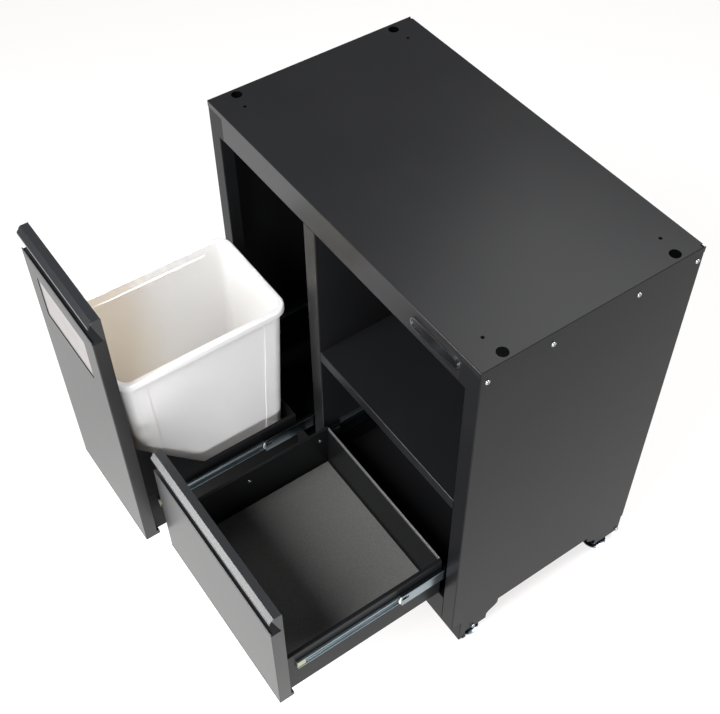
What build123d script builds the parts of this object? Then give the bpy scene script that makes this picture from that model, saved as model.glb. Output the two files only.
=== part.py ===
from build123d import *
import os

# A sheet-steel floor cabinet with its two pull-outs drawn open: a tall waste-bin frame on the
# left and a drawer on the right. X runs to the right, Y from the front towards the back and Z up.
# Z = 0 is the floor, X = 0 the middle of the cabinet and Y = 0 the middle of its open length.

# Overall sizes, in millimetres
cabinet_width = 775
cabinet_depth = 450
cabinet_height = 848
plinth_height = 73
bin_bay_width = 274
divider_width = 34
bin_reach = 400
drawer_reach = 365

# Sheet metal
sheet = 1.2
bend_radius = 2.0
fit_gap = 0.3
deck_gap = 0.4
cut_overrun = 2

# Front frame, measured inwards from the sides, down from the top or up from the plinth
stile_width = 32.5
stile_return = 25
rear_flange = 20
head_rail = 62
rail_return = 20
rail_seam_inset = 46.5
deck_nose = 12
deck_flange = 38
flange_setback = 4
corner_relief = 6
floor_rise = 76
floor_return = 15
shelf_drop = 365
shelf_lip = 26
shelf_hem = 12
notch_clearance = 0.5
bend_clearance = 1.0

# Holes in the deck and the screws below it
link_hole_diameter = 20.5
link_hole_inset = 16.2
link_hole_setback = 51.5
top_hole_diameter = 6.5
top_hole_inset = 54.5
top_hole_setback = 45.5
screw_drop = 25
end_screw_setback = 12.5
middle_screw_setback = 138
screw_head_diameter = 9
screw_head_height = 2.4
screw_head_round = 1.4
screw_diameter = 5
screw_clearance = 0.1
screw_reach = 8

# Plinth, foot brackets and levelling feet
plinth_setback = 22
plinth_clearance = 3
plinth_return = 15
plinth_tuck = 27
plinth_reveal = 0.5
clip_width = 3
clip_length = 8
clip_height = 6
clip_wall = 1.5
clip_drop = 2
bracket_gauge = 2.5
bracket_base = 17
bracket_setback = 24
bracket_foot_length = 66
bracket_flare = 27
flare_low = 33
flare_high = 61
bracket_height = 130
bracket_shelf = 45
bracket_screw_height = 27
bracket_screw_setback = 56
rear_bracket_setback = 2.7
rear_screw_setback = 8.5
foot_inset = 21.5
front_foot_setback = 57
rear_foot_setback = 48
foot_diameter = 50
foot_rim = 3
foot_crown = 6
foot_neck_diameter = 18
foot_nut_width = 17
foot_nut_height = 6
stud_diameter = 10
stud_running_clearance = 0.08
stud_top = 60

# Blank name plate on the head rail
plate_length = 116
plate_width = 26
plate_inset = 107.5
plate_drop = 31
plate_rim = 2.5
plate_rim_height = 3
plate_field_height = 1.6

# Telescopic ball-bearing slides, across the slide from the wall it is fixed to
slide_rise = 84.5
slide_thickness = 12.7
slide_gauge = 1.2
slide_bend = 1.8
outer_half_height = 20.5
outer_lip_reach = 10.5
outer_lip = 2.4
middle_offset = 3.2
middle_half_height = 15.8
middle_lip_reach = 11.9
window_setback = 1.5
window_length = 15
window_height = 9
window_rise = 6.5
inner_half_height = 11
inner_lip_reach = 7.2
outer_cage_offset = 1.6
outer_cage_reach = 8.8
outer_cage_half_height = 18.4
inner_cage_offset = 4.7
inner_cage_reach = 10.6
inner_cage_half_height = 13.4

# Places along the slides with the pull-out shut: start, and gap to the back of the cabinet
outer_start = 38
outer_end_gap = 12
middle_start = 84
middle_end_gap = 20
inner_start = 45
inner_end_gap = 55
outer_cage_start = 142
outer_cage_length = 140
inner_cage_start = 188
inner_cage_length = 100
middle_share = 0.5
outer_cage_share = 0.25
inner_cage_share = 0.75
channel_half_height = 24
channel_start = 28
channel_end_gap = 6

# Pull-out fronts and handle rails
front_gap = 2
front_head_gap = 3
front_foot_gap = 4
front_thickness = 24
handle_height = 50
handle_gauge = 1.8
handle_bend = 1.4
handle_upstand = 5
handle_slant = 9
handle_hook = 5
cap_thickness = 1.5
cap_toe = 4
trim_thickness = 3
hook_width = 9
hook_depth = 6
hook_rise = 10

# Swing flap of the bin front
flap_opening_width = 182
flap_opening_height = 94
flap_opening_drop = 32
opening_corner = 3
flap_lap = 4
flap_play = 0.3
knuckle_radius = 3.2
flap_pin_diameter = 4
pin_running_clearance = 0.08
lug_thickness = 2
lug_reach = 6
lug_half_height = 6
backing_margin = 9

# Steel boxes behind the fronts
box_bottom_clearance = 3
box_rear_gap = 86
box_height = 118
box_hem = 7
gusset_rise = 153
gusset_run = 137
gusset_flange = 12
front_bolt_setback = 155
rear_bolt_inset = 18
mat_thickness = 2
mat_margin = 3

# Moulded waste bin
bin_flap_clearance = 25
bin_side_clearance = 6.3
bin_front_clearance = 4
bin_rear_overhang = 10
bin_rim_lap = 8
bin_rim_lip = 13
bin_taper = 17
bin_corner_top = 22
bin_corner_bottom = 20
bin_wall = 2.4
bin_rim_round = 3.5
panel_recess = 2
panel_corner_inset = 42
panel_foot = 30
panel_head = 20

# Places worked out from the sizes above
half_width = cabinet_width / 2
web_inside = half_width - sheet
opening_side = half_width - stile_width
divider_left = bin_bay_width - opening_side
divider_right = divider_left + divider_width
rail_seam = half_width - rail_seam_inset
opening_top = cabinet_height - head_rail
floor_top = plinth_height + floor_rise
shelf_top = cabinet_height - shelf_drop
shelf_bottom = shelf_top - shelf_lip
slide_height = floor_top + slide_rise
back_face = cabinet_depth - 2 * sheet
frame_front = (bin_reach - cabinet_depth) / 2
box_bottom = floor_top + box_bottom_clearance
front_bottom = floor_top + front_foot_gap
foot_x = half_width - foot_inset
box_depth = cabinet_depth - front_thickness - box_rear_gap
bolt_setbacks = (front_bolt_setback, box_depth - rear_bolt_inset)

section_plane = {"x": Plane.YZ, "y": Plane.XZ, "z": Plane.XY}
run_direction = {"x": Vector(1, 0, 0), "y": Vector(0, 1, 0), "z": Vector(0, 0, 1)}


def run_out(axis, section, start, end):
    """Section drawn square to an axis, made solid from start to end along it."""
    direction = run_direction[axis]
    solid = extrude(section_plane[axis] * section, amount=end - start, dir=direction)
    return Pos(*(direction * start)) * solid


def polygon(*points):
    """Flat face with straight sides."""
    return make_face(Polyline(*points, close=True))


def folded(points, gauge=sheet, radius=bend_radius, side=Side.LEFT):
    """Section of sheet bent along points that lie on one of its faces."""
    path = FilletPolyline(*points, radius=radius)
    return make_face(offset(path, amount=gauge, side=side))


def block(x_limits, y_limits, z_limits):
    """Straight block between three pairs of limits."""
    (x_low, x_high), (y_low, y_high) = x_limits, y_limits
    section = polygon((x_low, y_low), (x_high, y_low), (x_high, y_high), (x_low, y_high))
    return run_out("z", section, *z_limits)


def rod(axis, centre, diameter, start, end):
    """Round bar along an axis, its centre given in the plane square to that axis."""
    return run_out(axis, Pos(*centre) * Circle(diameter / 2), start, end)


def both_sides(shape):
    """The shape together with its mirror image in the cabinet's middle plane."""
    return shape, mirror(shape, about=Plane.YZ)


# Carcass


def side_panel():
    """Right-hand side: one sheet with the front stile, its return and a rear flange folded on."""
    rear = (half_width - rear_flange, cabinet_depth)
    corner = ((half_width, 0), (half_width, cabinet_depth), rear)
    stile = folded([(opening_side, stile_return), (opening_side, 0), *corner])
    tab = folded([(rail_seam, 0), *corner])
    web = polygon((web_inside, 0), (half_width, 0), (half_width, cabinet_depth),
                  (web_inside, cabinet_depth))
    tab_top = cabinet_height - deck_nose
    panel = run_out("z", stile, plinth_height, opening_top)
    panel += run_out("z", tab, opening_top, tab_top)
    panel += run_out("z", web, tab_top, cabinet_height)
    for setback in deck_screw_places():
        panel -= side_screw_hole(setback, cabinet_height - screw_drop)
    return panel


def side_screw_hole(setback, height):
    """Clearance hole for one screw that enters from the right-hand side."""
    diameter = screw_diameter + 2 * screw_clearance
    return rod("x", (setback, height), diameter, half_width - 2 * screw_reach, half_width + cut_overrun)


def deck_screw_places():
    """Setbacks of the screws along each side of the deck."""
    front = (end_screw_setback, middle_screw_setback)
    return *front, *(cabinet_depth - setback for setback in reversed(front))


def bracket_screw_places():
    """Setbacks of the screws in the front and the rear foot bracket."""
    return bracket_screw_setback, cabinet_depth - rear_screw_setback


def top_panel():
    """Deck with a rounded front nose, the head rail below it and flanges turned down at the sides."""
    half_deck = web_inside - deck_gap
    tab_top = cabinet_height - deck_nose
    deck = folded([(0, tab_top), (0, cabinet_height), (cabinet_depth, cabinet_height)], side=Side.RIGHT)
    rail = folded([(rail_return, opening_top), (0, opening_top), (0, tab_top)], side=Side.RIGHT)
    flange_foot = cabinet_height - deck_flange
    flange = [(-half_deck, flange_foot), (-half_deck, cabinet_height),
              (half_deck, cabinet_height), (half_deck, flange_foot)]
    panel = run_out("x", deck, -half_deck, half_deck)
    panel += run_out("x", rail, fit_gap - rail_seam, rail_seam - fit_gap)
    panel += run_out("y", folded(flange, side=Side.RIGHT), flange_setback, back_face - flange_setback)
    for sign in (-1, 1):
        panel -= deck_cuts(sign, half_deck)
    return panel


def deck_cuts(sign, half_deck):
    """Link hole, top fixing hole and screw holes at both ends of one side of the deck."""
    low, high = opening_top, cabinet_height + cut_overrun
    relief = sorted((sign * (half_deck - corner_relief), sign * (half_deck + cut_overrun)))
    cuts = block(relief, (cabinet_depth - corner_relief, cabinet_depth + cut_overrun), (low, high))
    link_x = sign * (half_width - link_hole_inset)
    for link_y in (link_hole_setback, cabinet_depth - link_hole_setback):
        cuts += rod("z", (link_x, link_y), link_hole_diameter, cabinet_height - 2 * sheet, high)
    for fixing_y in (top_hole_setback, cabinet_depth - top_hole_setback):
        place = (sign * (half_width - top_hole_inset), fixing_y)
        cuts += rod("z", place, top_hole_diameter, opening_top + 2 * sheet, high)
    for setback in deck_screw_places():
        hole = side_screw_hole(setback, cabinet_height - screw_drop)
        cuts += hole if sign > 0 else mirror(hole, about=Plane.YZ)
    return cuts


def bottom_panel():
    """Cabinet floor with the bottom rail folded down in front and notched round the stiles."""
    rail = folded([(floor_return, plinth_height), (0, plinth_height),
                   (0, floor_top), (back_face, floor_top)], side=Side.RIGHT)
    half_rail = opening_side - fit_gap
    half_floor = web_inside - fit_gap
    panel = run_out("x", rail, -half_rail, half_rail)
    behind_stile = (stile_return + notch_clearance, back_face)
    panel += block((-half_floor, half_floor), behind_stile, (floor_top - sheet, floor_top))
    return panel


def back_panel():
    """Flat back, held against the rear flanges of the sides."""
    half_back = web_inside - bend_clearance
    upright = (plinth_height, cabinet_height - sheet)
    return block((-half_back, half_back), (back_face, back_face + sheet), upright)


def centre_divider():
    """Box-section wall between the bays, folded to a U and open at the back."""
    section = folded([(divider_left, back_face), (divider_left, 0),
                      (divider_right, 0), (divider_right, back_face)])
    wall = run_out("z", section, floor_top, opening_top)
    above_rail = cabinet_height - sheet
    for low in (divider_left, divider_right - sheet):
        wall += block((low, low + sheet), (rail_return + fit_gap, back_face), (opening_top, above_rail))
    return wall


def shelf():
    """Fixed shelf above the drawer with a folded front lip."""
    section = folded([(shelf_hem, shelf_bottom), (0, shelf_bottom), (0, shelf_top), (back_face, shelf_top)],
                     side=Side.RIGHT)
    left = divider_right + fit_gap
    panel = run_out("x", section, left, opening_side - fit_gap)
    panel += block((left, web_inside - fit_gap), (stile_return + notch_clearance, back_face),
                   (shelf_top - sheet, shelf_top))
    return panel


def slide_channel():
    """Channel on the right-hand side that brings the slide level with the stile."""
    low, high = slide_height - channel_half_height, slide_height + channel_half_height
    section = folded([(web_inside, low), (opening_side, low), (opening_side, high), (web_inside, high)],
                     side=Side.RIGHT)
    return run_out("y", section, channel_start, cabinet_depth - channel_end_gap)


def plinth():
    """Kick plate set back under the front, tucked up behind the bottom rail."""
    end = plinth_setback + plinth_return
    face = folded([(half_width, end), (half_width, plinth_setback),
                   (-half_width, plinth_setback), (-half_width, end)], side=Side.RIGHT)
    tuck_top = plinth_height + plinth_tuck
    tuck = folded([(plinth_setback, plinth_height - plinth_reveal),
                   (plinth_setback, tuck_top), (sheet, tuck_top)], side=Side.RIGHT)
    half_tuck = opening_side - fit_gap
    return run_out("z", face, plinth_clearance, plinth_height) + run_out("x", tuck, -half_tuck, half_tuck)


def plinth_clip():
    """Black plastic clip over the lower rear corner of the plinth's right-hand return."""
    back = plinth_setback + plinth_return + clip_wall
    low = plinth_clearance - clip_drop
    body = block((half_width - clip_width, half_width + clip_wall), (back - clip_length, back),
                 (low, low + clip_height))
    slot = block((web_inside, half_width), (back - clip_length - cut_overrun, back - clip_wall),
                 (plinth_clearance, plinth_clearance + clip_height))
    return body - slot


def foot_bracket(edge, inward, foot_y):
    """Right-hand angle bracket under one corner, its toe flared into the side panel by an S curve."""
    toe = edge + inward * bracket_foot_length
    flare = toe + inward * bracket_flare
    waist = (flare_low + flare_high) / 2
    curve = Bezier((toe, flare_low), (toe, waist), (flare, waist), (flare, flare_high))
    sides = Polyline((flare, flare_high), (flare, bracket_height), (edge, bracket_height),
                     (edge, bracket_base), (toe, bracket_base), (toe, flare_low))
    outline = make_face(Curve() + [curve, sides])
    angle = folded([(web_inside - bracket_shelf, bracket_base), (web_inside, bracket_base),
                    (web_inside, bracket_height)], gauge=bracket_gauge, radius=bracket_gauge + bend_radius)
    bracket = run_out("y", angle, *sorted((edge, flare)))
    bracket &= run_out("x", outline, web_inside - bracket_shelf, web_inside)
    hole = stud_diameter + 2 * stud_running_clearance
    bracket -= rod("z", (foot_x, foot_y), hole, 0, bracket_height / 2)
    for setback in bracket_screw_places():
        bracket -= side_screw_hole(setback, bracket_screw_height)
    return bracket


def levelling_foot():
    """Zinc-plated foot: pressed disc, hexagonal nut and threaded stud on one centre line."""
    rim, neck, core = foot_diameter / 2, foot_neck_diameter / 2, stud_diameter / 2
    half = polygon((0, 0), (rim, 0), (rim, foot_rim), (neck, foot_crown), (core, foot_crown),
                   (core, stud_top), (0, stud_top))
    foot = revolve(Plane.XZ * half, Axis.Z)
    across_corners = RegularPolygon(foot_nut_width / 2, 6, major_radius=False)
    return foot + run_out("z", across_corners, foot_crown, foot_crown + foot_nut_height)


def pan_head_screw(length):
    """Pan-head screw along +X with the underside of its head at X = 0 and its shank towards -X."""
    head = rod("x", (0, 0), screw_head_diameter, 0, screw_head_height)
    head = fillet(head.edges().filter_by(GeomType.CIRCLE).sort_by(Axis.X)[-1], screw_head_round)
    return head + rod("x", (0, 0), screw_diameter, -length, 0)


def panel_screws():
    """Screws through both sides into the deck flanges and the foot brackets."""
    screw = pan_head_screw(screw_reach)
    places = [(setback, cabinet_height - screw_drop) for setback in deck_screw_places()]
    places += [(setback, bracket_screw_height) for setback in bracket_screw_places()]
    right = [Pos(half_width, setback, height) * screw for setback, height in places]
    left = [mirror(one, about=Plane.YZ) for one in right]
    return Compound(children=[*right, *left])


def name_plate_rim():
    """Raised rim of the blank name plate on the head rail."""
    outline = SlotOverall(plate_length, plate_width)
    field = SlotOverall(plate_length - 2 * plate_rim, plate_width - 2 * plate_rim)
    place = Pos(half_width - plate_inset, cabinet_height - plate_drop)
    return run_out("y", place * (outline - field), -plate_rim_height, 0)


def name_plate_field():
    """Bare field inside the rim."""
    margin = 2 * (plate_rim + fit_gap / 2)
    place = Pos(half_width - plate_inset, cabinet_height - plate_drop)
    field = SlotOverall(plate_length - margin, plate_width - margin)
    return run_out("y", place * field, -plate_field_height, 0)


# Telescopic slides. A member is drawn with its wall at X = 0 and its open side towards +X.


def channel_member(offset_from_wall, reach, half_height, lip=0):
    """Section of a C-shaped member that opens away from the wall."""
    points = [(reach, -half_height), (offset_from_wall, -half_height),
              (offset_from_wall, half_height), (reach, half_height)]
    if lip:
        points = [(reach, lip - half_height), *points, (reach, half_height - lip)]
    return folded(points, gauge=slide_gauge, radius=slide_bend, side=Side.RIGHT)


def inner_member():
    """Section of the member on the box wall, opening towards the cabinet wall."""
    return folded([(inner_lip_reach, -inner_half_height), (slide_thickness, -inner_half_height),
                   (slide_thickness, inner_half_height), (inner_lip_reach, inner_half_height)],
                  gauge=slide_gauge, radius=slide_bend)


def middle_window(front):
    """Stamped window in the web of a middle member, just behind its front end."""
    start = front + window_setback
    low, high = window_rise - window_height / 2, window_rise + window_height / 2
    return block((0, middle_lip_reach / 2), (start, start + window_length), (low, high))


def place_member(member, wall, towards):
    """Member of one slide, set beside its wall at the height of the slide."""
    if towards < 0:
        member = mirror(member, about=Plane.YZ)
    return Pos(wall, 0, slide_height) * member


def slide_parts(wall, towards, reach):
    """The three members and two ball cages of one slide, drawn out by reach."""
    cabinet = channel_member(0, outer_lip_reach, outer_half_height, outer_lip)
    middle = channel_member(middle_offset, middle_lip_reach, middle_half_height)
    outer_cage = channel_member(outer_cage_offset, outer_cage_reach, outer_cage_half_height)
    inner_cage = channel_member(inner_cage_offset, inner_cage_reach, inner_cage_half_height)
    outer_cage_end = outer_cage_start + outer_cage_length
    inner_cage_end = inner_cage_start + inner_cage_length
    runs = {
        "cabinet_member": (cabinet, outer_start, cabinet_depth - outer_end_gap, 0),
        "middle_member": (middle, middle_start, cabinet_depth - middle_end_gap, middle_share),
        "inner_member": (inner_member(), inner_start, cabinet_depth - inner_end_gap, 1),
        "outer_cage": (outer_cage, outer_cage_start, outer_cage_end, outer_cage_share),
        "inner_cage": (inner_cage, inner_cage_start, inner_cage_end, inner_cage_share),
    }
    parts = {piece: run_out("y", section, start - share * reach, end - share * reach)
             for piece, (section, start, end, share) in runs.items()}
    parts["middle_member"] -= middle_window(middle_start - middle_share * reach)
    return {piece: place_member(part, wall, towards) for piece, part in parts.items()}


# Pull-outs, drawn shut with their face in the plane Y = 0


def front_limits(bay, head):
    """Left, right, bottom, panel top and handle top of a front in its bay."""
    left, right = bay
    handle_top = head - front_head_gap
    return left + front_gap, right - front_gap, front_bottom, handle_top - handle_height, handle_top


def front_pan(limits):
    """Front panel folded to a shallow pan, open at the back."""
    left, right, bottom, top, _ = limits
    pan = block((left, right), (0, front_thickness - sheet), (bottom, top))
    pan = fillet(pan.faces().sort_by(Axis.Y)[0].edges(), bend_radius)
    return offset(pan, amount=-sheet, openings=pan.faces().sort_by(Axis.Y)[-1])


def front_backing(limits):
    """Flat sheet that closes the back of the pan."""
    left, right, bottom, top, _ = limits
    return block((left, right), (front_thickness - sheet, front_thickness), (bottom, top))


def handle_rail(limits):
    """Extruded grip rail: groove floor, back wall, top and a slanted hooked lip."""
    left, right, _, foot, head = limits
    points = [(0, foot + handle_upstand), (0, foot), (front_thickness, foot), (front_thickness, head),
              (handle_slant, head), (0, head - handle_slant), (0, head - handle_slant - handle_hook)]
    section = folded(points, gauge=handle_gauge, radius=handle_bend)
    return run_out("x", section, left + cap_thickness, right - cap_thickness)


def handle_caps(limits):
    """Wedge-shaped plastic caps on both ends of the grip rail."""
    left, right, _, foot, head = limits
    section = polygon((handle_slant - cap_toe, head - cap_toe), (handle_slant, head),
                      (front_thickness, head), (front_thickness, foot), (front_thickness - cap_toe, foot))
    ends = (left, right - cap_thickness)
    return Compound(children=[run_out("x", section, end, end + cap_thickness) for end in ends])


def front_trim(limits):
    """Black buffer strip below the pan with a hooked end behind each corner."""
    left, right, bottom, _, _ = limits
    low = bottom - trim_thickness
    trim = block((left, right), (0, front_thickness), (low, bottom))
    for start in (left, right - hook_width):
        trim += block((start, start + hook_width), (front_thickness, front_thickness + hook_depth),
                      (low, low + hook_rise))
    return fillet(trim.edges().filter_by(Axis.X).group_by(Axis.Y)[-1], trim_thickness / 2)


def box_limits(bay):
    """Left and right face of the box that hangs between two slides in a bay."""
    return bay[0] + slide_thickness, bay[1] - slide_thickness


def steel_box(bay):
    """Drawer box with hemmed side walls, open at the top."""
    left, right = box_limits(bay)
    top = box_bottom + box_height
    rear = front_thickness + box_depth
    section = folded([(left + box_hem, top), (left, top), (left, box_bottom), (right, box_bottom),
                      (right, top), (right - box_hem, top)])
    box = run_out("y", section, front_thickness, rear)
    for start in (front_thickness, rear - sheet):
        box += block((left + sheet, right - sheet), (start, start + sheet), (box_bottom, top))
    for start in (left, right - sheet):
        for setback in bolt_setbacks:
            place = (front_thickness + setback, slide_height)
            hole = screw_diameter + 2 * screw_clearance
            box -= rod("x", place, hole, start - cut_overrun, start + sheet + cut_overrun)
    return box


def box_gusset(wall, inwards):
    """Sloping cheek above one wall of the bin tray with its flange on the front."""
    top = box_bottom + box_height
    outline = polygon((front_thickness, top), (front_thickness + gusset_run, top),
                      (front_thickness, top + gusset_rise))
    x_limits = sorted((wall, wall + inwards * sheet))
    flange_limits = sorted((wall, wall + inwards * gusset_flange))
    cheek = run_out("x", outline, *x_limits)
    upright = (top, top + gusset_rise - sheet)
    return cheek + block(flange_limits, (front_thickness, front_thickness + sheet), upright)


def bin_tray(bay):
    """Box of the bin frame with a cheek on each side that stiffens the tall front."""
    left, right = box_limits(bay)
    return steel_box(bay) + box_gusset(left, 1) + box_gusset(right, -1)


def box_bolts(bay):
    """Bolts that hold the box to the inner members of its slides."""
    left, right = box_limits(bay)
    bolt = pan_head_screw(2 * sheet + screw_clearance)
    bolts = []
    for setback in bolt_setbacks:
        place = Pos(left + sheet, front_thickness + setback, slide_height)
        bolts.append(place * bolt)
        bolts.append(Pos(left + right, 0, 0) * mirror(place * bolt, about=Plane.YZ))
    return Compound(children=bolts)


def drawer_mat(bay):
    """Ribbed mat on the drawer floor."""
    left, right = box_limits(bay)
    low = box_bottom + sheet
    margin = sheet + mat_margin
    front, rear = front_thickness + margin, front_thickness + box_depth - margin
    return block((left + margin, right - margin), (front, rear), (low, low + mat_thickness))


# Swing flap


def flap_limits(limits):
    """Opening for the flap: left, right, bottom and top."""
    left, right, _, panel_top, _ = limits
    middle = (left + right) / 2
    top = panel_top - flap_opening_drop
    half_width_of_opening = flap_opening_width / 2
    return middle - half_width_of_opening, middle + half_width_of_opening, top - flap_opening_height, top


def rounded_cut(opening, margin, start, end):
    """Through cut with rounded corners, wider than the flap opening by the margin."""
    left, right, bottom, top = opening
    section = RectangleRounded(right - left + 2 * margin, top - bottom + 2 * margin, opening_corner)
    return run_out("y", Pos((left + right) / 2, (bottom + top) / 2) * section, start, end)


def flap_pivot(opening):
    """Setback and height of the flap's pin."""
    return sheet + flap_play + knuckle_radius, opening[3] + knuckle_radius - sheet


def flapped_pan(limits):
    """Bin front with its flap opening and two lugs that carry the flap's pin."""
    opening = flap_limits(limits)
    pan = front_pan(limits) - rounded_cut(opening, 0, -cut_overrun, front_thickness / 2)
    depth, height = flap_pivot(opening)
    upright = (height - lug_half_height, height + lug_half_height)
    for lug in lug_places(opening):
        pan += block(lug, (sheet / 2, depth + lug_reach), upright)
    pin_hole = flap_pin_diameter + pin_running_clearance
    start, end = limits[0] + front_thickness, limits[1] - front_thickness
    return pan - rod("x", (depth, height), pin_hole, start, end)


def lug_places(opening):
    """Limits along X of the two lugs beside the flap."""
    left = opening[0] - flap_lap - flap_play
    right = opening[1] + flap_lap + flap_play
    return (left - lug_thickness, left), (right, right + lug_thickness)


def swing_flap(opening):
    """Flap that closes against the back of the panel, with a rolled knuckle along its top."""
    depth, height = flap_pivot(opening)
    left, right = opening[0] - flap_lap, opening[1] + flap_lap
    face = sheet + flap_play
    flap = block((left, right), (face, face + sheet), (opening[2] - flap_lap, height))
    flap += rod("x", (depth, height), 2 * knuckle_radius, left, right)
    bore = flap_pin_diameter + 2 * pin_running_clearance
    return flap - rod("x", (depth, height), bore, left - cut_overrun, right + cut_overrun)


def flap_pin(opening):
    """Pin through both lugs and the knuckle."""
    left_lug, right_lug = lug_places(opening)
    return rod("x", flap_pivot(opening), flap_pin_diameter, left_lug[0], right_lug[1])


# Moulded waste bin


def tub(width, length, corner_top, corner_bottom, low, high):
    """Tapered block with rounded corners, its size given at the top."""
    foot = RectangleRounded(width - 2 * bin_taper, length - 2 * bin_taper, corner_bottom)
    mouth = RectangleRounded(width, length, corner_top)
    return loft([Pos(0, 0, low) * foot, Pos(0, 0, high) * mouth])


def side_step(width, length, low, high, proud):
    """Strip along one long wall of a tub, from the depth of its panel recess to a little outside."""
    sections = []
    for height in (low + panel_foot, high - panel_head):
        drawn_in = bin_taper * (high - height) / (high - low)
        face = width / 2 - drawn_in
        span = length - 2 * panel_corner_inset - 2 * drawn_in
        strip = Pos(face - panel_recess + proud / 2, 0, height) * Rectangle(proud, span)
        sections.append(strip)
    strip = loft(sections)
    return strip + mirror(strip, about=Plane.YZ)


def waste_bin(bay, opening):
    """Tapered tub with a rolled rim and a stepped-in panel in each long wall, below the flap."""
    left, right = box_limits(bay)
    low = box_bottom + sheet
    high = opening[2] - flap_lap - bin_flap_clearance
    front = front_thickness + bin_front_clearance
    rear = front_thickness + box_depth + bin_rear_overhang
    rim_width, rim_length = right - left - 2 * bin_side_clearance, rear - front
    width = rim_width - 2 * bin_rim_lap
    length = rim_length - 2 * bin_rim_lap
    body = tub(width, length, bin_corner_top, bin_corner_bottom, low, high)
    body -= side_step(width, length, low, high, panel_recess + cut_overrun)
    rim = run_out("z", RectangleRounded(rim_width, rim_length, bin_corner_top + bin_rim_lap),
                  high - bin_rim_lip, high)
    rim = fillet(rim.edges().group_by(Axis.Z)[-1], bin_rim_round)
    under_rim = RectangleRounded(rim_width - 2 * bin_wall, rim_length - 2 * bin_wall,
                                 bin_corner_top + bin_rim_lap - bin_wall)
    rim -= run_out("z", under_rim, high - bin_rim_lip - cut_overrun, high - bin_wall - bin_rim_round / 2)
    inner_width, inner_length = width - 2 * bin_wall, length - 2 * bin_wall
    inside = tub(inner_width, inner_length, bin_corner_top - bin_wall, bin_corner_bottom - bin_wall,
                 low + bin_wall, high + cut_overrun)
    inside -= side_step(inner_width, inner_length, low, high, panel_recess + cut_overrun)
    return Pos((left + right) / 2, (front + rear) / 2, 0) * (body + rim - inside)


# Assembly

bin_bay = (-opening_side, divider_left)
drawer_bay = (divider_right, opening_side)
bin_front = front_limits(bin_bay, opening_top)
drawer_front = front_limits(drawer_bay, shelf_bottom)
flap_opening = flap_limits(bin_front)

nodes = {}
nodes["right_side_panel"], nodes["left_side_panel"] = both_sides(side_panel())
nodes["top_panel"] = top_panel()
nodes["bottom_panel"] = bottom_panel()
nodes["back_panel"] = back_panel()
nodes["centre_divider"] = centre_divider()
nodes["shelf"] = shelf()
nodes["right_slide_channel"], nodes["left_slide_channel"] = both_sides(slide_channel())
nodes["plinth"] = plinth()
nodes["plinth_clips"] = Compound(children=list(both_sides(plinth_clip())))
nodes["panel_screws"] = panel_screws()
nodes["name_plate_rim"] = name_plate_rim()
nodes["name_plate_field"] = name_plate_field()

# Foot brackets and feet at the four corners
rear_edge = cabinet_depth - rear_bracket_setback
rear_foot = cabinet_depth - rear_foot_setback
front_bracket = foot_bracket(bracket_setback, 1, front_foot_setback)
rear_bracket = foot_bracket(rear_edge, -1, rear_foot)
nodes["front_right_bracket"], nodes["front_left_bracket"] = both_sides(front_bracket)
nodes["rear_right_bracket"], nodes["rear_left_bracket"] = both_sides(rear_bracket)
for side, x_place in (("right", foot_x), ("left", -foot_x)):
    for end, y_place in (("front", front_foot_setback), ("rear", rear_foot)):
        nodes[f"{end}_{side}_foot"] = Pos(x_place, y_place, 0) * levelling_foot()

# Slides of both pull-outs: left-hand wall first, each facing into its bay
for pull_out, bay, reach in (("bin", bin_bay, bin_reach), ("drawer", drawer_bay, drawer_reach)):
    left_slide = slide_parts(bay[0], 1, reach)
    right_slide = slide_parts(bay[1], -1, reach)
    for side, parts in (("left", left_slide), ("right", right_slide)):
        box_face = box_limits(bay)[0] if side == "left" else box_limits(bay)[1]
        for setback in bolt_setbacks:
            place = (front_thickness + setback - reach, slide_height)
            hole = screw_diameter + 2 * screw_clearance
            parts["inner_member"] -= rod("x", place, hole, box_face - 2 * sheet, box_face + 2 * sheet)
        for member in ("cabinet_member", "middle_member", "inner_member"):
            nodes[f"{pull_out}_{side}_{member}"] = parts[member]
    for cage in ("outer_cage", "inner_cage"):
        nodes[f"{pull_out}_{cage}s"] = Compound(children=[left_slide[cage], right_slide[cage]])

# Bin frame, drawn out by its reach
out_of_bin_bay = Pos(0, -bin_reach, 0)
nodes["bin_front_panel"] = out_of_bin_bay * flapped_pan(bin_front)
backing_cut = rounded_cut(flap_opening, backing_margin, front_thickness / 2, front_thickness + cut_overrun)
nodes["bin_front_backing"] = out_of_bin_bay * (front_backing(bin_front) - backing_cut)
nodes["bin_handle_rail"] = out_of_bin_bay * handle_rail(bin_front)
nodes["bin_handle_caps"] = out_of_bin_bay * handle_caps(bin_front)
nodes["bin_front_trim"] = out_of_bin_bay * front_trim(bin_front)
nodes["bin_flap"] = out_of_bin_bay * swing_flap(flap_opening)
nodes["bin_flap_pin"] = out_of_bin_bay * flap_pin(flap_opening)
nodes["bin_tray"] = out_of_bin_bay * bin_tray(bin_bay)
nodes["bin_tray_bolts"] = out_of_bin_bay * box_bolts(bin_bay)
nodes["waste_bin"] = out_of_bin_bay * waste_bin(bin_bay, flap_opening)

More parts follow.
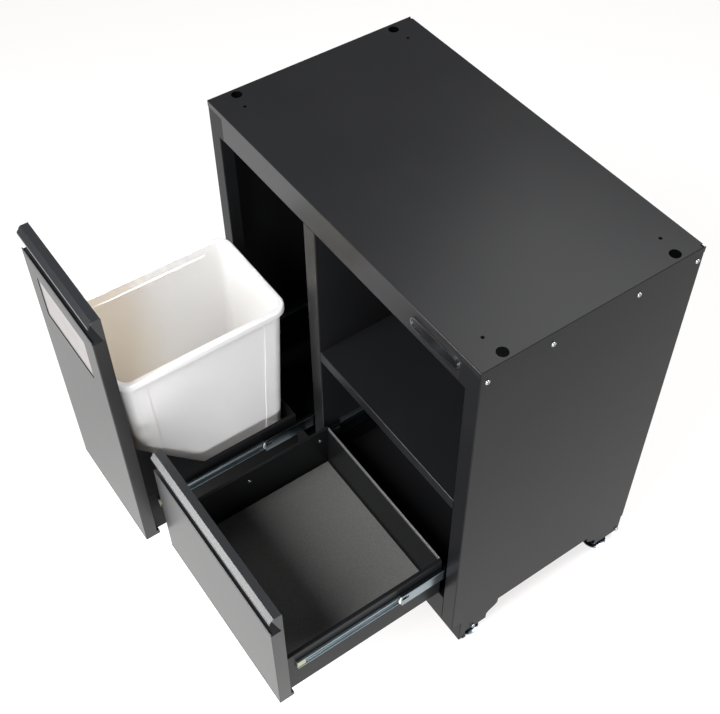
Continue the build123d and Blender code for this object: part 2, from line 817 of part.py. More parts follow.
# Drawer, drawn out by its reach
out_of_drawer_bay = Pos(0, -drawer_reach, 0)
nodes["drawer_front_panel"] = out_of_drawer_bay * front_pan(drawer_front)
nodes["drawer_front_backing"] = out_of_drawer_bay * front_backing(drawer_front)
nodes["drawer_handle_rail"] = out_of_drawer_bay * handle_rail(drawer_front)
nodes["drawer_handle_caps"] = out_of_drawer_bay * handle_caps(drawer_front)
nodes["drawer_front_trim"] = out_of_drawer_bay * front_trim(drawer_front)
nodes["drawer_box"] = out_of_drawer_bay * steel_box(drawer_bay)
nodes["drawer_box_bolts"] = out_of_drawer_bay * box_bolts(drawer_bay)
nodes["drawer_mat"] = out_of_drawer_bay * drawer_mat(drawer_bay)

os.makedirs("parts", exist_ok=True)
for name, shape in nodes.items():
    export_step(Pos(0, frame_front, 0) * shape, f"parts/{name}.step")
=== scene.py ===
import math

import bmesh
import bpy
from mathutils import Matrix, Vector


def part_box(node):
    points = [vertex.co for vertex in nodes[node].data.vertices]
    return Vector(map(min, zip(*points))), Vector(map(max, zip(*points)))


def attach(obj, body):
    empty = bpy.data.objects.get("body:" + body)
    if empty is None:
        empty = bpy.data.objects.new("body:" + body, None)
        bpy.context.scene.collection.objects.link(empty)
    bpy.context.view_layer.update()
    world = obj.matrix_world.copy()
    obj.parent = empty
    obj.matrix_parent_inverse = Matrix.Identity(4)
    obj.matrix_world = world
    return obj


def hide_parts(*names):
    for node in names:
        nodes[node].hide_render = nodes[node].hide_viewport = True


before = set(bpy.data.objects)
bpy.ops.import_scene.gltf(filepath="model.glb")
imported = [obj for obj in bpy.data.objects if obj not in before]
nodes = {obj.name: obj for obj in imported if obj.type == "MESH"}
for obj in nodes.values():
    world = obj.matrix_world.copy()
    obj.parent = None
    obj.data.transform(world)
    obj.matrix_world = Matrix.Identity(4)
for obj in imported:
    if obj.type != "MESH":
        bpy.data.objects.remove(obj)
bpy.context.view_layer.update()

# Values that several sections use: sheet is the gauge of the boxes and the slides, and
# almost is the share of a size, or of a normal, that counts as all of it.
pull_outs = ("bin", "drawer")
sides = ("left", "right")
corners = [f"{end}_{side}" for end in ("front", "rear") for side in sides]
sheet = 0.0012
almost = 0.9
along_x = (0, math.pi / 2, 0)
mirrored = Matrix.Diagonal((-1, 1, 1, 1))


def new_material(name):
    """Material, its node tree, its shader and the sockets that say where each of its points is."""
    material = bpy.data.materials.new(name)
    material.use_nodes = True
    tree = material.node_tree
    places = tree.nodes.new("ShaderNodeTexCoord").outputs
    return material, tree, tree.nodes["Principled BSDF"], places


def add_node(tree, kind, sources, **settings):
    """Adds a shader node, sets it, and fixes or links each of its inputs; gives its outputs."""
    node = tree.nodes.new(kind)
    for setting, value in settings.items():
        setattr(node, setting, value)
    for name, source in sources.items():
        if isinstance(source, bpy.types.NodeSocket):
            tree.links.new(source, node.inputs[name])
        else:
            node.inputs[name].default_value = source
    return node.outputs


def noise(tree, place, size, detail, roughness=0.5):
    """Noise from 0 to 1, its size in cells to the metre."""
    sources = {"Vector": place, "Scale": size, "Detail": detail, "Roughness": roughness}
    return add_node(tree, "ShaderNodeTexNoise", sources)["Fac"]


def remap(tree, value, before=(0, 1), after=(0, 1), easing="LINEAR"):
    """Takes a value from one range to another and holds it at the ends."""
    sources = {"Value": value, "From Min": before[0], "From Max": before[1],
               "To Min": after[0], "To Max": after[1]}
    return add_node(tree, "ShaderNodeMapRange", sources, interpolation_type=easing)["Result"]


def blend(tree, share, first, second):
    """Colour between two: the first where the share is 0, the second where it is 1."""
    sources = {"Factor": share, "A": first, "B": second}
    return add_node(tree, "ShaderNodeMix", sources, data_type="RGBA")["Result"]


def relief(tree, height, strength, depth):
    """Surface normal of a fine relief."""
    sources = {"Height": height, "Strength": strength, "Distance": depth}
    return add_node(tree, "ShaderNodeBump", sources)["Normal"]


def dress(tree, shader, colour, roughness, normal):
    """Links a colour, a roughness and a normal to the shader."""
    for name, source in (("Base Color", colour), ("Roughness", roughness), ("Normal", normal)):
        tree.links.new(source, shader.inputs[name])


def finish_nodes(names, material):
    """Gives each CAD node of a group the same finish."""
    for name in names:
        piece = nodes[name]
        piece.data.materials.clear()
        piece.data.materials.append(material)


def cylinder(radius, length, middle, turn=(0, 0, 0), facets=24):
    """Closed cylinder along Z, then turned, with its middle at a place."""
    bpy.ops.object.select_all(action="DESELECT")
    bpy.ops.mesh.primitive_cylinder_add(vertices=facets, radius=radius, depth=length,
                                        location=middle, rotation=turn)
    bpy.ops.object.transform_apply(location=True, rotation=True, scale=True)
    return bpy.context.object


def block(size, middle=(0, 0, 0), turn=(0, 0, 0)):
    """Box of a size, turned, with its middle at a place."""
    bpy.ops.object.select_all(action="DESELECT")
    bpy.ops.mesh.primitive_cube_add(size=1, location=middle, rotation=turn)
    bpy.context.object.scale = size
    bpy.ops.object.transform_apply(location=True, rotation=True, scale=True)
    return bpy.context.object


def start_edit(piece):
    """Goes into edit mode with nothing selected and gives the piece's mesh."""
    bpy.context.view_layer.objects.active = piece
    bpy.ops.object.mode_set(mode="EDIT")
    bpy.ops.mesh.select_all(action="DESELECT")
    return bmesh.from_edit_mesh(piece.data)


def pick_faces(piece, wanted):
    """Goes into edit mode with only those faces selected whose normal passes the test."""
    mesh = start_edit(piece)
    for face in mesh.faces:
        face.select_set(wanted(face.normal))
    bmesh.update_edit_mesh(piece.data)


def round_picked(size, segments):
    """Rounds the picked edges, or the edges of the picked faces, and leaves edit mode."""
    bpy.ops.mesh.bevel(offset=size, segments=segments, affect="EDGES")
    bpy.ops.object.mode_set(mode="OBJECT")


def round_edges(piece, wanted, size, segments):
    """Rounds the edges whose ends both pass the test."""
    mesh = start_edit(piece)
    for edge in mesh.edges:
        edge.select_set(all(wanted(corner.co) for corner in edge.verts))
    mesh.select_flush_mode()
    bmesh.update_edit_mesh(piece.data)
    round_picked(size, segments)


def soften(piece, width):
    """Rounds every sharp edge of a piece."""
    bpy.context.view_layer.objects.active = piece
    rounding = piece.modifiers.new("rounding", "BEVEL")
    rounding.width = width
    rounding.segments = 2
    rounding.limit_method = "ANGLE"
    bpy.ops.object.modifier_apply(modifier="rounding")


def cut_out(piece, waste):
    """Takes the shape of one piece out of another and deletes it."""
    cut = piece.modifiers.new("cut", "BOOLEAN")
    cut.object = waste
    cut.operation = "DIFFERENCE"
    bpy.context.view_layer.objects.active = piece
    bpy.ops.object.modifier_apply(modifier="cut")
    bpy.data.objects.remove(waste, do_unlink=True)


def join(pieces):
    """Joins pieces into the first one, which stays selected."""
    bpy.ops.object.select_all(action="DESELECT")
    for piece in pieces:
        piece.select_set(True)
    bpy.context.view_layer.objects.active = pieces[0]
    if len(pieces) > 1:
        bpy.ops.object.join()
    return pieces[0]


def smooth(piece, degrees):
    """Shades a piece smooth, except across edges sharper than an angle."""
    bpy.ops.object.select_all(action="DESELECT")
    piece.select_set(True)
    bpy.context.view_layer.objects.active = piece
    bpy.ops.object.shade_smooth_by_angle(angle=math.radians(degrees))


def set_out(pattern, name, places, material, body, stood_for=()):
    """Copies a finished piece to each place, joins the copies into one piece and lets it ride on a body."""
    copies = []
    for place in places:
        copy = pattern.copy()
        copy.data = pattern.data.copy()
        bpy.context.collection.objects.link(copy)
        copy.data.transform(place)
        if place.determinant() < 0:
            copy.data.flip_normals()
        copies.append(copy)
    group = join(copies)
    group.name = name
    group.data.materials.clear()
    group.data.materials.append(material)
    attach(group, body)
    if stood_for:
        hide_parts(*stood_for)


# Carcass: sides, deck, floor, back, divider, shelf, plinth and foot brackets.
# Cold-rolled sheet, folded and spot-welded, then powder-coated satin black;
# the coat has a fine orange peel and is a little thinner and duller in places.
# The coat of the deck, the divider and the shelf shines more.
coat_colour, coat_worn_colour = (0.0100, 0.0103, 0.0113, 1), (0.0125, 0.0126, 0.0134, 1)
coat_roughness, coat_duller, coat_glossier = 0.30, 0.02, 0.015
coat_sheen, deck_sheen = 0.07, 0.4
coat_cloud_size, worn_range = 3.5, (0.42, 0.75)
peel_size, peel_height, peel_strength = 1 / 0.0011, 0.00005, 0.35


def powder_coat(name, colour, worn_colour, roughness, sheen):
    """Satin powder coat: fine orange peel, and faint clouds where it is lighter and duller."""
    coat, tree, shader, places = new_material(name)
    shader.inputs["Specular IOR Level"].default_value = sheen
    cloud = noise(tree, places["Object"], coat_cloud_size, detail=4, roughness=0.55)
    peel = noise(tree, places["Object"], peel_size, detail=2)
    tone = blend(tree, remap(tree, cloud, before=worn_range), colour, worn_colour)
    gloss = remap(tree, cloud, after=(roughness - coat_glossier, roughness + coat_duller))
    dress(tree, shader, tone, gloss, relief(tree, peel, peel_strength, peel_height))
    return coat


black_coat = powder_coat("black_powder_coat", coat_colour, coat_worn_colour, coat_roughness, coat_sheen)
carcass_nodes = ["left_side_panel", "right_side_panel", "bottom_panel", "back_panel", "left_slide_channel",
                 "right_slide_channel", "plinth"]
carcass_nodes += [f"{corner}_bracket" for corner in corners]
finish_nodes(carcass_nodes, black_coat)
deck_coat = powder_coat("deck_powder_coat", coat_colour, coat_worn_colour, coat_roughness, deck_sheen)
finish_nodes(["top_panel", "centre_divider", "shelf"], deck_coat)

# Panel screws: zinc-plated pan heads with a cross recess, driven through the
# sides into the deck flanges and the foot brackets.
zinc_colour, zinc_shade = (0.56, 0.60, 0.63, 1), (0.42, 0.46, 0.50, 1)
blotch_size, blotch_range = 18, (0.35, 0.65)
steel_gloss_swing, grain_strength = 0.04, 0.1


def plated_steel(name, colour, shade, roughness, grain=(900, 40, 900), grain_height=0.00002):
    """Bright plated steel: drawn lines along the rolling direction and a slightly blotchy lustre."""
    metal, tree, shader, places = new_material(name)
    shader.inputs["Metallic"].default_value = 1
    stretched = add_node(tree, "ShaderNodeMapping", {"Vector": places["Object"], "Scale": grain})
    lines = noise(tree, stretched["Vector"], 1, detail=3)
    blotch = noise(tree, places["Object"], blotch_size, detail=2)
    lustre = blend(tree, remap(tree, blotch, before=blotch_range), shade, colour)
    gloss = remap(tree, lines, after=(roughness - steel_gloss_swing, roughness + steel_gloss_swing))
    dress(tree, shader, lustre, gloss, relief(tree, lines, grain_strength, grain_height))
    return metal


zinc = plated_steel("zinc_plated_steel", zinc_colour, zinc_shade, roughness=0.27)

screw_head_radius, screw_head_height, head_rounding = 0.0045, 0.0024, 0.62
recess_depth, recess_length, recess_width = 0.55, 1.15, 0.26
screw_shank_radius, screw_reach = 0.0025, 0.008
half_width, frame_front = 0.3875, -0.025
deck_screw_height, deck_screw_setbacks = 0.823, (0.0125, 0.138, 0.312, 0.4375)
bracket_screw_height, bracket_screw_setbacks = 0.027, (0.056, 0.4415)
first_screw_turn, screw_turn_step = 15, 37


def cross_recess_screw(name, shank_length):
    """Pan-head screw along +X, the underside of its head at X = 0, with a cross recess in the head."""
    head = cylinder(screw_head_radius, screw_head_height, (screw_head_height / 2, 0, 0), along_x, facets=28)
    head.name = name
    round_edges(head, lambda corner: corner.x > almost * screw_head_height,
                screw_head_height * head_rounding, segments=4)
    slot_size = (2 * recess_depth * screw_head_height, recess_length * screw_head_radius,
                 recess_width * screw_head_radius)
    for turn in (0, math.pi / 2):
        cut_out(head, block(slot_size, (screw_head_height, 0, 0), (turn, 0, 0)))
    shank = cylinder(screw_shank_radius, shank_length, (-shank_length / 2, 0, 0), along_x, facets=20)
    screw = join([head, shank])
    smooth(screw, degrees=38)
    return screw


panel_screw = cross_recess_screw("panel_screw", screw_reach)
screw_places = []
screw_rows = [(setback, deck_screw_height) for setback in deck_screw_setbacks]
screw_rows += [(setback, bracket_screw_height) for setback in bracket_screw_setbacks]
for number, (setback, height) in enumerate(screw_rows):
    turned = Matrix.Rotation(math.radians(screw_turn_step * number + first_screw_turn), 4, "X")
    right = Matrix.Translation((half_width, frame_front + setback, height)) @ turned
    screw_places += [right, mirrored @ right]
set_out(panel_screw, "cross_head_panel_screws", screw_places, zinc, "carcass", ["panel_screws"])
bpy.data.objects.remove(panel_screw, do_unlink=True)

# Name plate: slot-shaped plate on the head rail, a polished rim round a bare
# glossy black field. It is clipped through the rail and carries nothing.
polished = plated_steel("polished_plate_rim", (0.42, 0.42, 0.43, 1), (0.36, 0.36, 0.37, 1),
                        roughness=0.20, grain=(300, 300, 300))
finish_nodes(["name_plate_rim"], polished)

plastic_coat_roughness, plastic_gloss_swing, skin_strength = 0.12, 0.01, 0.3


def moulded_plastic(name, colour, deep_colour, roughness, grain, grain_height, coat=0.0, cloud_size=9.0):
    """Injection-moulded plastic: fine tool grain, faint flow clouds in the colour."""
    plastic, tree, shader, places = new_material(name)
    shader.inputs["Coat Weight"].default_value = coat
    shader.inputs["Coat Roughness"].default_value = plastic_coat_roughness
    cloud = noise(tree, places["Object"], cloud_size, detail=3)
    skin = noise(tree, places["Object"], grain, detail=3)
    gloss = remap(tree, skin, after=(roughness - plastic_gloss_swing, roughness + plastic_gloss_swing))
    dress(tree, shader, blend(tree, cloud, colour, deep_colour), gloss,
          relief(tree, skin, skin_strength, grain_height))
    return plastic


gloss_black = moulded_plastic("gloss_black_field", (0.006, 0.006, 0.007, 1), (0.010, 0.010, 0.011, 1),
                              roughness=0.16, grain=500, grain_height=0.00001, coat=0.5)
finish_nodes(["name_plate_field"], gloss_black)

# Levelling feet: zinc-plated disc, nut and threaded stud pressed together.
# Each turns in its bracket, so the thread shows as fine rings on the stud.
foot_radius, rim_height, crown_height, neck_radius = 0.025, 0.003, 0.006, 0.009
rim_rounding, foot_chamfer = 0.0009, 0.0008
nut_across_flats, nut_height = 0.017, 0.006
stud_root_radius, stud_top = 0.0043, 0.060
thread_pitch, thread_depth, thread_steps = 0.0015, 0.0007, 20


def foot_plate():
    """Pressed disc: the top face is drawn in and up to the crown, and the rim is rounded."""
    plate = cylinder(foot_radius, rim_height, (0, 0, rim_height / 2), facets=64)
    pick_faces(plate, lambda normal: normal.z > almost)
    bpy.ops.mesh.inset(thickness=foot_radius - neck_radius)
    bpy.ops.transform.translate(value=(0, 0, crown_height - rim_height))
    bpy.ops.object.mode_set(mode="OBJECT")
    rim = (almost * foot_radius, almost * rim_height)
    round_edges(plate, lambda corner: corner.xy.length > rim[0] and corner.z > rim[1],
                rim_rounding, segments=3)
    return plate


def foot_nut():
    """Hexagonal nut with the edges of its upper face turned off."""
    nut = cylinder(nut_across_flats / math.sqrt(3), nut_height, (0, 0, crown_height + nut_height / 2),
                   facets=6)
    pick_faces(nut, lambda normal: normal.z > almost)
    round_picked(foot_chamfer, segments=2)
    return nut


def stud_core():
    """Plain core of the stud, rounded at the top."""
    core = cylinder(stud_root_radius, stud_top - crown_height, (0, 0, (stud_top + crown_height) / 2))
    pick_faces(core, lambda normal: normal.z > almost)
    round_picked(foot_chamfer, segments=2)
    return core


def stud_thread():
    """Helical thread: a lozenge wound up the core."""
    thread_start = crown_height + nut_height + thread_pitch
    bpy.ops.object.select_all(action="DESELECT")
    bpy.ops.mesh.primitive_circle_add(vertices=4, radius=thread_depth, rotation=(math.pi / 2, 0, 0),
                                      location=(stud_root_radius, 0, thread_start))
    thread = bpy.context.object
    bpy.ops.object.transform_apply(location=True, rotation=True, scale=True)
    wind = thread.modifiers.new("wind", "SCREW")
    wind.axis = "Z"
    wind.screw_offset = thread_pitch
    wind.iterations = int((stud_top - thread_start) / thread_pitch) - 1
    wind.steps = wind.render_steps = thread_steps
    bpy.ops.object.modifier_apply(modifier="wind")
    bpy.ops.object.mode_set(mode="EDIT")
    bpy.ops.mesh.select_all(action="SELECT")
    bpy.ops.mesh.fill_holes(sides=4)
    bpy.ops.mesh.normals_make_consistent(inside=False)
    bpy.ops.object.mode_set(mode="OBJECT")
    return thread


foot = join([foot_plate(), foot_nut(), stud_core(), stud_thread()])
smooth(foot, degrees=35)
foot_steel = plated_steel("foot_zinc", (0.34, 0.39, 0.45, 1), (0.26, 0.31, 0.37, 1),
                          roughness=0.16, grain=(260, 260, 260), grain_height=0)
for corner in corners:
    low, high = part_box(f"{corner}_foot")
    place = Matrix.Translation(((low[0] + high[0]) / 2, (low[1] + high[1]) / 2, low[2]))
    set_out(foot, f"{corner}_threaded_foot", [place], foot_steel, f"{corner}_foot", [f"{corner}_foot"])
bpy.data.objects.remove(foot, do_unlink=True)

# Plinth clips, buffer strips and grip-rail caps: matt black moulded plastic,
# pressed over the sheet edges.
matt_black = moulded_plastic("matt_black_plastic", (0.018, 0.018, 0.019, 1), (0.026, 0.026, 0.027, 1),
                             roughness=0.46, grain=1500, grain_height=0.00004)
finish_nodes(["plinth_clips", "bin_front_trim", "drawer_front_trim", "bin_handle_caps",
              "drawer_handle_caps"], matt_black)

# Slides: three roll-formed C members per slide, zinc-plated, with pressed
# cages between them that carry rows of hardened steel balls.
member_grain = (260, 4, 260)
slide_zinc = plated_steel("slide_zinc", (0.40, 0.47, 0.51, 1), (0.34, 0.41, 0.45, 1),
                          roughness=0.32, grain=member_grain, grain_height=0)
# The middle members get a darker zinc colour than the other members: painted shade for the dark gaps that
# their webs mirror.
shaded_middle_zinc = plated_steel("middle_member_zinc_painted_shade", (0.27, 0.32, 0.35, 1), (0.21, 0.26, 0.29, 1),
                           roughness=0.20, grain=member_grain, grain_height=0)
for member, member_zinc in (("cabinet", slide_zinc), ("middle", shaded_middle_zinc), ("inner", slide_zinc)):
    finish_nodes([f"{pull_out}_{side}_{member}_member" for pull_out in pull_outs for side in sides],
                 member_zinc)
cage_steel = plated_steel("cage_strip", (0.46, 0.47, 0.48, 1), (0.34, 0.35, 0.36, 1),
                          roughness=0.30, grain=(500, 30, 500))
finish_nodes([f"{pull_out}_{cage}_cages" for pull_out in pull_outs for cage in ("outer", "inner")],
             cage_steel)

# Balls: hardened chrome steel, pressed into the cages in an upper and a lower row on each side.
# Each kind of cage has a ball radius, a distance from the wall and a distance from the middle.
ball_pitch, ball_end_gap = 0.008, 0.005
ball_rows = {"outer": (0.00175, 0.0066, 0.01755), "inner": (0.0018, 0.0092, 0.0128)}
ball_steel = plated_steel("ball_steel", (0.74, 0.75, 0.77, 1), (0.66, 0.67, 0.69, 1),
                          roughness=0.09, grain=(200, 200, 200), grain_height=0.000002)


def slide_wall(pull_out, side):
    """Face of the wall that a slide is fixed to, and the direction into its bay."""
    low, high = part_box(f"{pull_out}_{side}_cabinet_member")
    return (low[0], 1) if side == "left" else (high[0], -1)


for cage, (radius, from_wall, from_middle) in ball_rows.items():
    bpy.ops.object.select_all(action="DESELECT")
    bpy.ops.mesh.primitive_ico_sphere_add(subdivisions=2, radius=radius)
    ball = bpy.context.object
    bpy.ops.object.shade_smooth()
    for pull_out in pull_outs:
        low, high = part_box(f"{pull_out}_{cage}_cages")
        middle_height = (low[2] + high[2]) / 2
        in_a_row = int((high[1] - low[1] - 2 * ball_end_gap) / ball_pitch) + 1
        ball_places = []
        for side in sides:
            wall, inwards = slide_wall(pull_out, side)
            for row in (-1, 1):
                for number in range(in_a_row):
                    place = (wall + inwards * from_wall, low[1] + ball_end_gap + number * ball_pitch,
                             middle_height + row * from_middle)
                    ball_places.append(Matrix.Translation(place))
        set_out(ball, f"{pull_out}_{cage}_balls", ball_places, ball_steel,
                f"{pull_out}_{cage}_cages")
    bpy.data.objects.remove(ball, do_unlink=True)

# Nose: white nylon guide at the front end of each middle member, clipped in behind its web. It is
# kept short, so that the inner cage still clears it when the slide is fully out.
nose_thickness, nose_radius, nose_proud, nose_length = 0.0021, 0.0135, 0.0045, 0.0079
nose_window_radius, nose_from_wall, nose_rounding = 0.0085, 0.0046, 0.0004
nylon = moulded_plastic("natural_nylon", (0.80, 0.80, 0.76, 1), (0.72, 0.72, 0.68, 1),
                        roughness=0.32, grain=900, grain_height=0.00002, coat=0.2)


def guide_nose():
    """Round-fronted guide frame in the YZ plane, its front at Y = 0 and its hollow window cut through."""
    through = nose_thickness * 3
    nose = cylinder(nose_radius, nose_thickness, (0, nose_radius, 0), along_x, facets=48)
    cut_out(nose, cylinder(nose_window_radius, through, (0, nose_radius, 0), along_x, facets=40))
    heel_size = (through, nose_radius * 2, nose_radius * 3)
    cut_out(nose, block(heel_size, (0, nose_length + nose_radius, 0)))
    soften(nose, nose_rounding)
    smooth(nose, degrees=40)
    return nose


nose = guide_nose()
for pull_out in pull_outs:
    nose_places = []
    for side in sides:
        wall, inwards = slide_wall(pull_out, side)
        low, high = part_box(f"{pull_out}_{side}_middle_member")
        nose_places.append(Matrix.Translation((wall + inwards * (nose_from_wall + nose_thickness / 2),
                                               low[1] - nose_proud, (low[2] + high[2]) / 2)))
    set_out(nose, f"{pull_out}_guide_noses", nose_places, nylon,
            f"{pull_out}_middle_members")
bpy.data.objects.remove(nose, do_unlink=True)

# Buffer: pale nylon block pressed into the front end of each inner member's channel.
buffer_length, buffer_depth, buffer_height, buffer_rounding = 0.017, 0.0030, 0.0185, 0.0005
pocket_margin, pocket_squeeze = 0.0026, 0.62
buffer_setback, buffer_gap = 0.0008, 0.0001
pale_nylon = moulded_plastic("aged_nylon", (0.38, 0.39, 0.25, 1), (0.30, 0.31, 0.19, 1),
                             roughness=0.36, grain=900, grain_height=0.00002, coat=0.1)


def slide_buffer():
    """Block with rounded edges and a shallow pocket in each broad face."""
    buffer_block = block((buffer_depth, buffer_length, buffer_height))
    pick_faces(buffer_block, lambda normal: abs(normal.x) > almost)
    bpy.ops.mesh.inset(thickness=pocket_margin)
    bpy.ops.transform.resize(value=(pocket_squeeze, 1, 1))
    bpy.ops.object.mode_set(mode="OBJECT")
    soften(buffer_block, buffer_rounding)
    smooth(buffer_block, degrees=40)
    return buffer_block


buffer = slide_buffer()
for pull_out, body in (("bin", "bin_frame"), ("drawer", "drawer")):
    buffer_places = []
    for side in sides:
        low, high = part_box(f"{pull_out}_{side}_inner_member")
        web, inwards = (high[0], -1) if side == "left" else (low[0], 1)
        buffer_places.append(Matrix.Translation((web + inwards * (sheet + buffer_gap + buffer_depth / 2),
                                                 low[1] + buffer_setback + buffer_length / 2,
                                                 (low[2] + high[2]) / 2)))
    set_out(buffer, f"{pull_out}_slide_buffers", buffer_places, pale_nylon, body)
bpy.data.objects.remove(buffer, do_unlink=True)

# Fronts and grip rails: the same kind of coat as the carcass, sprayed over
# folded pans and over the extruded rails.
front_coat = powder_coat("front_powder_coat", (0.0130, 0.0126, 0.0128, 1), (0.0170, 0.0164, 0.0166, 1),
                         roughness=0.33, sheen=0.45)
finish_nodes(["bin_front_panel", "bin_front_backing", "drawer_front_panel", "drawer_front_backing"],
             front_coat)
rail_coat = powder_coat("grip_rail_coat", (0.017, 0.0185, 0.0205, 1), (0.021, 0.0225, 0.0245, 1),
                        roughness=0.27, sheen=0.5)
finish_nodes(["bin_handle_rail", "drawer_handle_rail"], rail_coat)

# Swing flap and its pin: fine-brushed steel sheet with a rolled knuckle.
flap_steel = plated_steel("brushed_flap", (0.47, 0.44, 0.44, 1), (0.43, 0.405, 0.405, 1),
                          roughness=0.36, grain=(24, 1100, 1100), grain_height=0.00003)
finish_nodes(["bin_flap", "bin_flap_pin"], flap_steel)

# Bin tray and drawer box: folded boxes in the carcass coat, bolted through
# their walls to the inner members of the slides.
finish_nodes(["bin_tray", "drawer_box"], black_coat)
bolt_setbacks, bolt_shank_length = (0.155, 0.322), 0.0025
first_bolt_turn, bolt_turn_step = 20, 52
box_bolt = cross_recess_screw("box_bolt", bolt_shank_length)
bolted_boxes = (("bin_tray", "bin_tray_bolts", "bin_frame"), ("drawer_box", "drawer_box_bolts", "drawer"))
for box_name, bolts, body in bolted_boxes:
    low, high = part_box(box_name)
    bolt_low, bolt_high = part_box(bolts)
    height = (bolt_low[2] + bolt_high[2]) / 2
    bolt_places = []
    for number, setback in enumerate(bolt_setbacks):
        turned = Matrix.Rotation(math.radians(bolt_turn_step * number + first_bolt_turn), 4, "X")
        left = Matrix.Translation((low[0] + sheet, low[1] + setback, height))
        right = Matrix.Translation((high[0] - sheet, low[1] + setback, height))
        bolt_places += [left @ turned, right @ mirrored @ turned]
    set_out(box_bolt, f"cross_head_{bolts}", bolt_places, zinc, body, [bolts])
bpy.data.objects.remove(box_bolt, do_unlink=True)

# Rear hem of the drawer box: the top of the rear wall is folded back on itself, and its round top gets a
# light grey coat colour with a strong sheen, a painted highlight that shows as a thin bright line.
side_hem, hem_height, hem_rise, hem_proud = 0.007, 0.008, 0.0009, 0.0001
hem_thickness, hem_rounding = 2 * sheet + hem_proud, 0.46


def rear_hem(box_name):
    """Round-topped strip round the upper edge of the rear wall, between the hems of the side walls."""
    low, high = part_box(box_name)
    top = high[2] + hem_rise
    strip = block((high[0] - low[0] - 2 * side_hem, hem_thickness, hem_height),
                  ((low[0] + high[0]) / 2, high[1] - sheet - hem_proud + hem_thickness / 2,
                   top - hem_height / 2))
    round_edges(strip, lambda corner: corner.z > top - sheet / 2, hem_thickness * hem_rounding, segments=5)
    smooth(strip, degrees=40)
    return strip


hem = rear_hem("drawer_box")
# The hem's light grey coat colour is a painted highlight along its round top.
highlight_hem_coat = powder_coat("painted_highlight_hem_coat", (0.13, 0.13, 0.135, 1), (0.17, 0.17, 0.175, 1),
                       roughness=0.30, sheen=0.8)
set_out(hem, "drawer_rear_hem", [Matrix.Identity(4)], highlight_hem_coat, "drawer")
bpy.data.objects.remove(hem, do_unlink=True)

# Drawer mat: grey non-slip foam rubber with a fine embossed grain.
mat_rubber = moulded_plastic("mat_rubber", (0.055, 0.055, 0.054, 1), (0.185, 0.185, 0.181, 1),
                             roughness=0.62, grain=420, grain_height=0.0008, cloud_size=420)
finish_nodes(["drawer_mat"], mat_rubber)

# Waste bin: glossy white polypropylene, moulded with draft, a rolled rim and
# a stepped-in panel in each long wall; it stands loose in the tray.
# Inside the bin the faces get a lighter white than the outside, painted light, and a cream tint towards the
# front, painted shade warmed by light bounced inside the bin.
outside_white, outside_cloud = (0.83, 0.825, 0.83, 1), (0.81, 0.805, 0.81, 1)
painted_shade_cream, painted_light_white = (0.88, 0.80, 0.70, 1), (0.94, 0.935, 0.925, 1)
shade_start, shade_end = 0.28, 0.60
turn_over = 0.004
white_plastic = moulded_plastic("white_polypropylene", outside_white, outside_cloud,
                                roughness=0.30, grain=900, grain_height=0.00001, coat=0.2, cloud_size=30)
white_shader = white_plastic.node_tree.nodes["Principled BSDF"]
white_shader.inputs["Subsurface Weight"].default_value = 0.4
white_shader.inputs["Subsurface Radius"].default_value = (1, 0.95, 0.88)
white_shader.inputs["Subsurface Scale"].default_value = 0.006


def paint_light_and_shade_inside(plastic, piece_name):
    """Paints light and shade on the faces that look inwards: a lighter white than the outside as painted
    light, turning cream towards the front as painted shade.
    """
    low, high = (Vector(corner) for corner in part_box(piece_name))
    tree = plastic.node_tree
    base_colour = tree.nodes["Principled BSDF"].inputs["Base Color"]
    outside = base_colour.links[0].from_socket
    places = tree.nodes.new("ShaderNodeTexCoord").outputs
    from_axis = add_node(tree, "ShaderNodeVectorMath", {0: places["Object"], 1: (low + high) / 2},
                         operation="SUBTRACT")
    level = add_node(tree, "ShaderNodeVectorMath", {0: from_axis["Vector"], 1: (1, 1, 0)},
                     operation="MULTIPLY")
    facing = add_node(tree, "ShaderNodeVectorMath", {0: level["Vector"], 1: places["Normal"]},
                      operation="DOT_PRODUCT")
    inward = remap(tree, facing["Value"], before=(turn_over, -turn_over))
    along = add_node(tree, "ShaderNodeSeparateXYZ", {"Vector": places["Object"]})
    depth = high.y - low.y
    shade_fade = remap(tree, along["Y"], before=(low.y + shade_start * depth, low.y + shade_end * depth),
                 easing="SMOOTHSTEP")
    inside = blend(tree, shade_fade, painted_shade_cream, painted_light_white)
    tree.links.new(blend(tree, inward, outside, inside), base_colour)


# Painted light and shade on the inside of the waste bin.
paint_light_and_shade_inside(white_plastic, "waste_bin")
finish_nodes(["waste_bin"], white_plastic)

# Studio: pale floor that glows softly, soft lights in front, at the right, at
# the rear and over the bin, dim air all round, and the photograph's camera.
floor_size = 16
paper_grey, paper_glow, paper_roughness = (0.25, 0.25, 0.25, 1), (1, 0.985, 0.98, 1), 0.9
air_light = 0.16
lens_length, sensor_width = 57.23, 36
camera_place, camera_turn = (1.1372, -0.7518, 2.1028), (40.328, 0.351, 54.983)

bpy.ops.object.select_all(action="DESELECT")
bpy.ops.mesh.primitive_plane_add(size=floor_size, location=(0, 0, 0))
floor = bpy.context.object
floor.name = "studio_floor"
paper, paper_tree, paper_shader, paper_places = new_material("studio_paper")
paper_shader.inputs["Base Color"].default_value = paper_grey
paper_shader.inputs["Roughness"].default_value = paper_roughness
paper_shader.inputs["Emission Color"].default_value = paper_glow


def glow_round(centre, inner, outer, near, far):
    """Glow of the paper by distance from a spot on the floor."""
    distance = add_node(paper_tree, "ShaderNodeVectorMath", {0: paper_places["Object"], 1: centre},
                        operation="DISTANCE")
    return remap(paper_tree, distance["Value"], (inner, outer), (near, far), "SMOOTHSTEP")


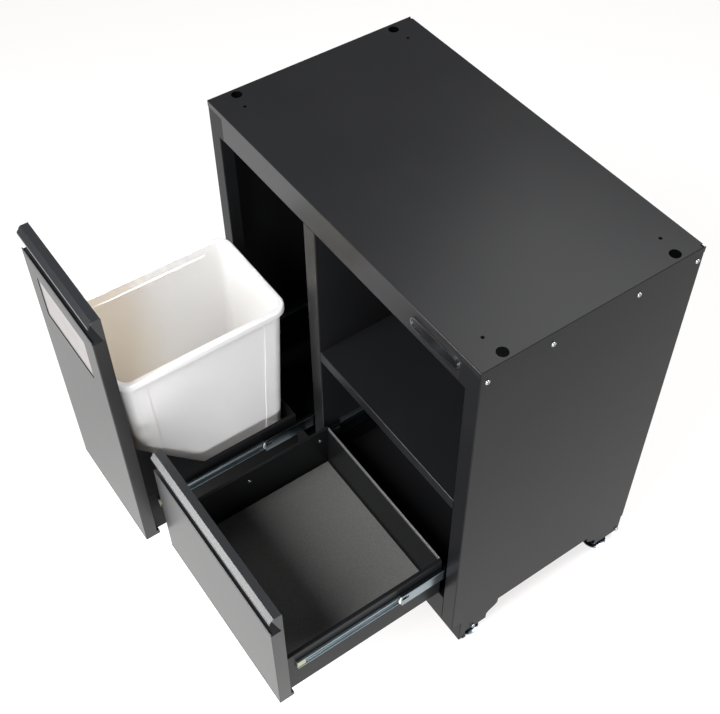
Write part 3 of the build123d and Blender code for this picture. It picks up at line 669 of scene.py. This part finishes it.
# The paper glows most in front of the drawer, and hardly at all below the front of the bin's bay.
front_glow = glow_round((0.05, -0.5, 0), inner=0.15, outer=0.7, near=1.08, far=0.76)
bay_shade = glow_round((-0.2, -0.04, 0), inner=0.16, outer=0.36, near=0.05, far=1)
glow = add_node(paper_tree, "ShaderNodeMath", {0: front_glow, 1: bay_shade}, operation="MULTIPLY")
paper_tree.links.new(glow["Value"], paper_shader.inputs["Emission Strength"])
floor.data.materials.append(paper)

world = bpy.data.worlds.new("studio_air")
bpy.context.scene.world = world
world.use_nodes = True
world.node_tree.nodes["Background"].inputs["Color"].default_value = (1, 1, 1, 1)
world.node_tree.nodes["Background"].inputs["Strength"].default_value = air_light
bpy.context.scene.view_settings.view_transform = "Standard"


def softbox(name, place, target, size, power, beam=180):
    """Soft rectangular light aimed at a point; a grid in front of it narrows its beam, in degrees."""
    light = bpy.data.lights.new(name, "AREA")
    light.shape = "RECTANGLE"
    light.spread = math.radians(beam)
    light.size, light.size_y = size
    light.energy = power
    lamp = bpy.data.objects.new(name, light)
    bpy.context.collection.objects.link(lamp)
    lamp.location = place
    lamp.rotation_euler = (Vector(target) - Vector(place)).to_track_quat("-Z", "Y").to_euler()
    lamp.visible_camera = False


softbox("key_softbox", place=(0.25, -1.8, 2.35), target=(0, -0.1, 0.4), size=(1.6, 1.1), power=100)
softbox("right_low_fill", place=(2.6, -0.45, 0.55), target=(-0.1, -0.25, 0.4), size=(1.3, 0.7), power=40)
softbox("rear_overhead", place=(-0.35, 1.35, 2.7), target=(0, 0.2, 0.8), size=(1.6, 1.2), power=12)
softbox("rear_right_softbox", place=(0.7, 1.6, 2.9), target=(-0.2, -0.25, 0.6), size=(0.8, 0.8), power=60)
softbox("bin_gridded_softbox", place=(-0.32, -0.26, 2.6), target=(-0.26, -0.22, 0.5),
        size=(0.12, 0.12), power=0.85, beam=7)
softbox("low_front_strip", place=(-0.9, -2.4, 0.75), target=(0.1, -0.3, 0.4), size=(1.0, 0.5), power=30)

camera_data = bpy.data.cameras.new("camera")
camera_data.lens = lens_length
camera_data.sensor_width = sensor_width
camera = bpy.data.objects.new("camera", camera_data)
bpy.context.collection.objects.link(camera)
camera.location = camera_place
camera.rotation_euler = tuple(math.radians(angle) for angle in camera_turn)
bpy.context.scene.camera = camera
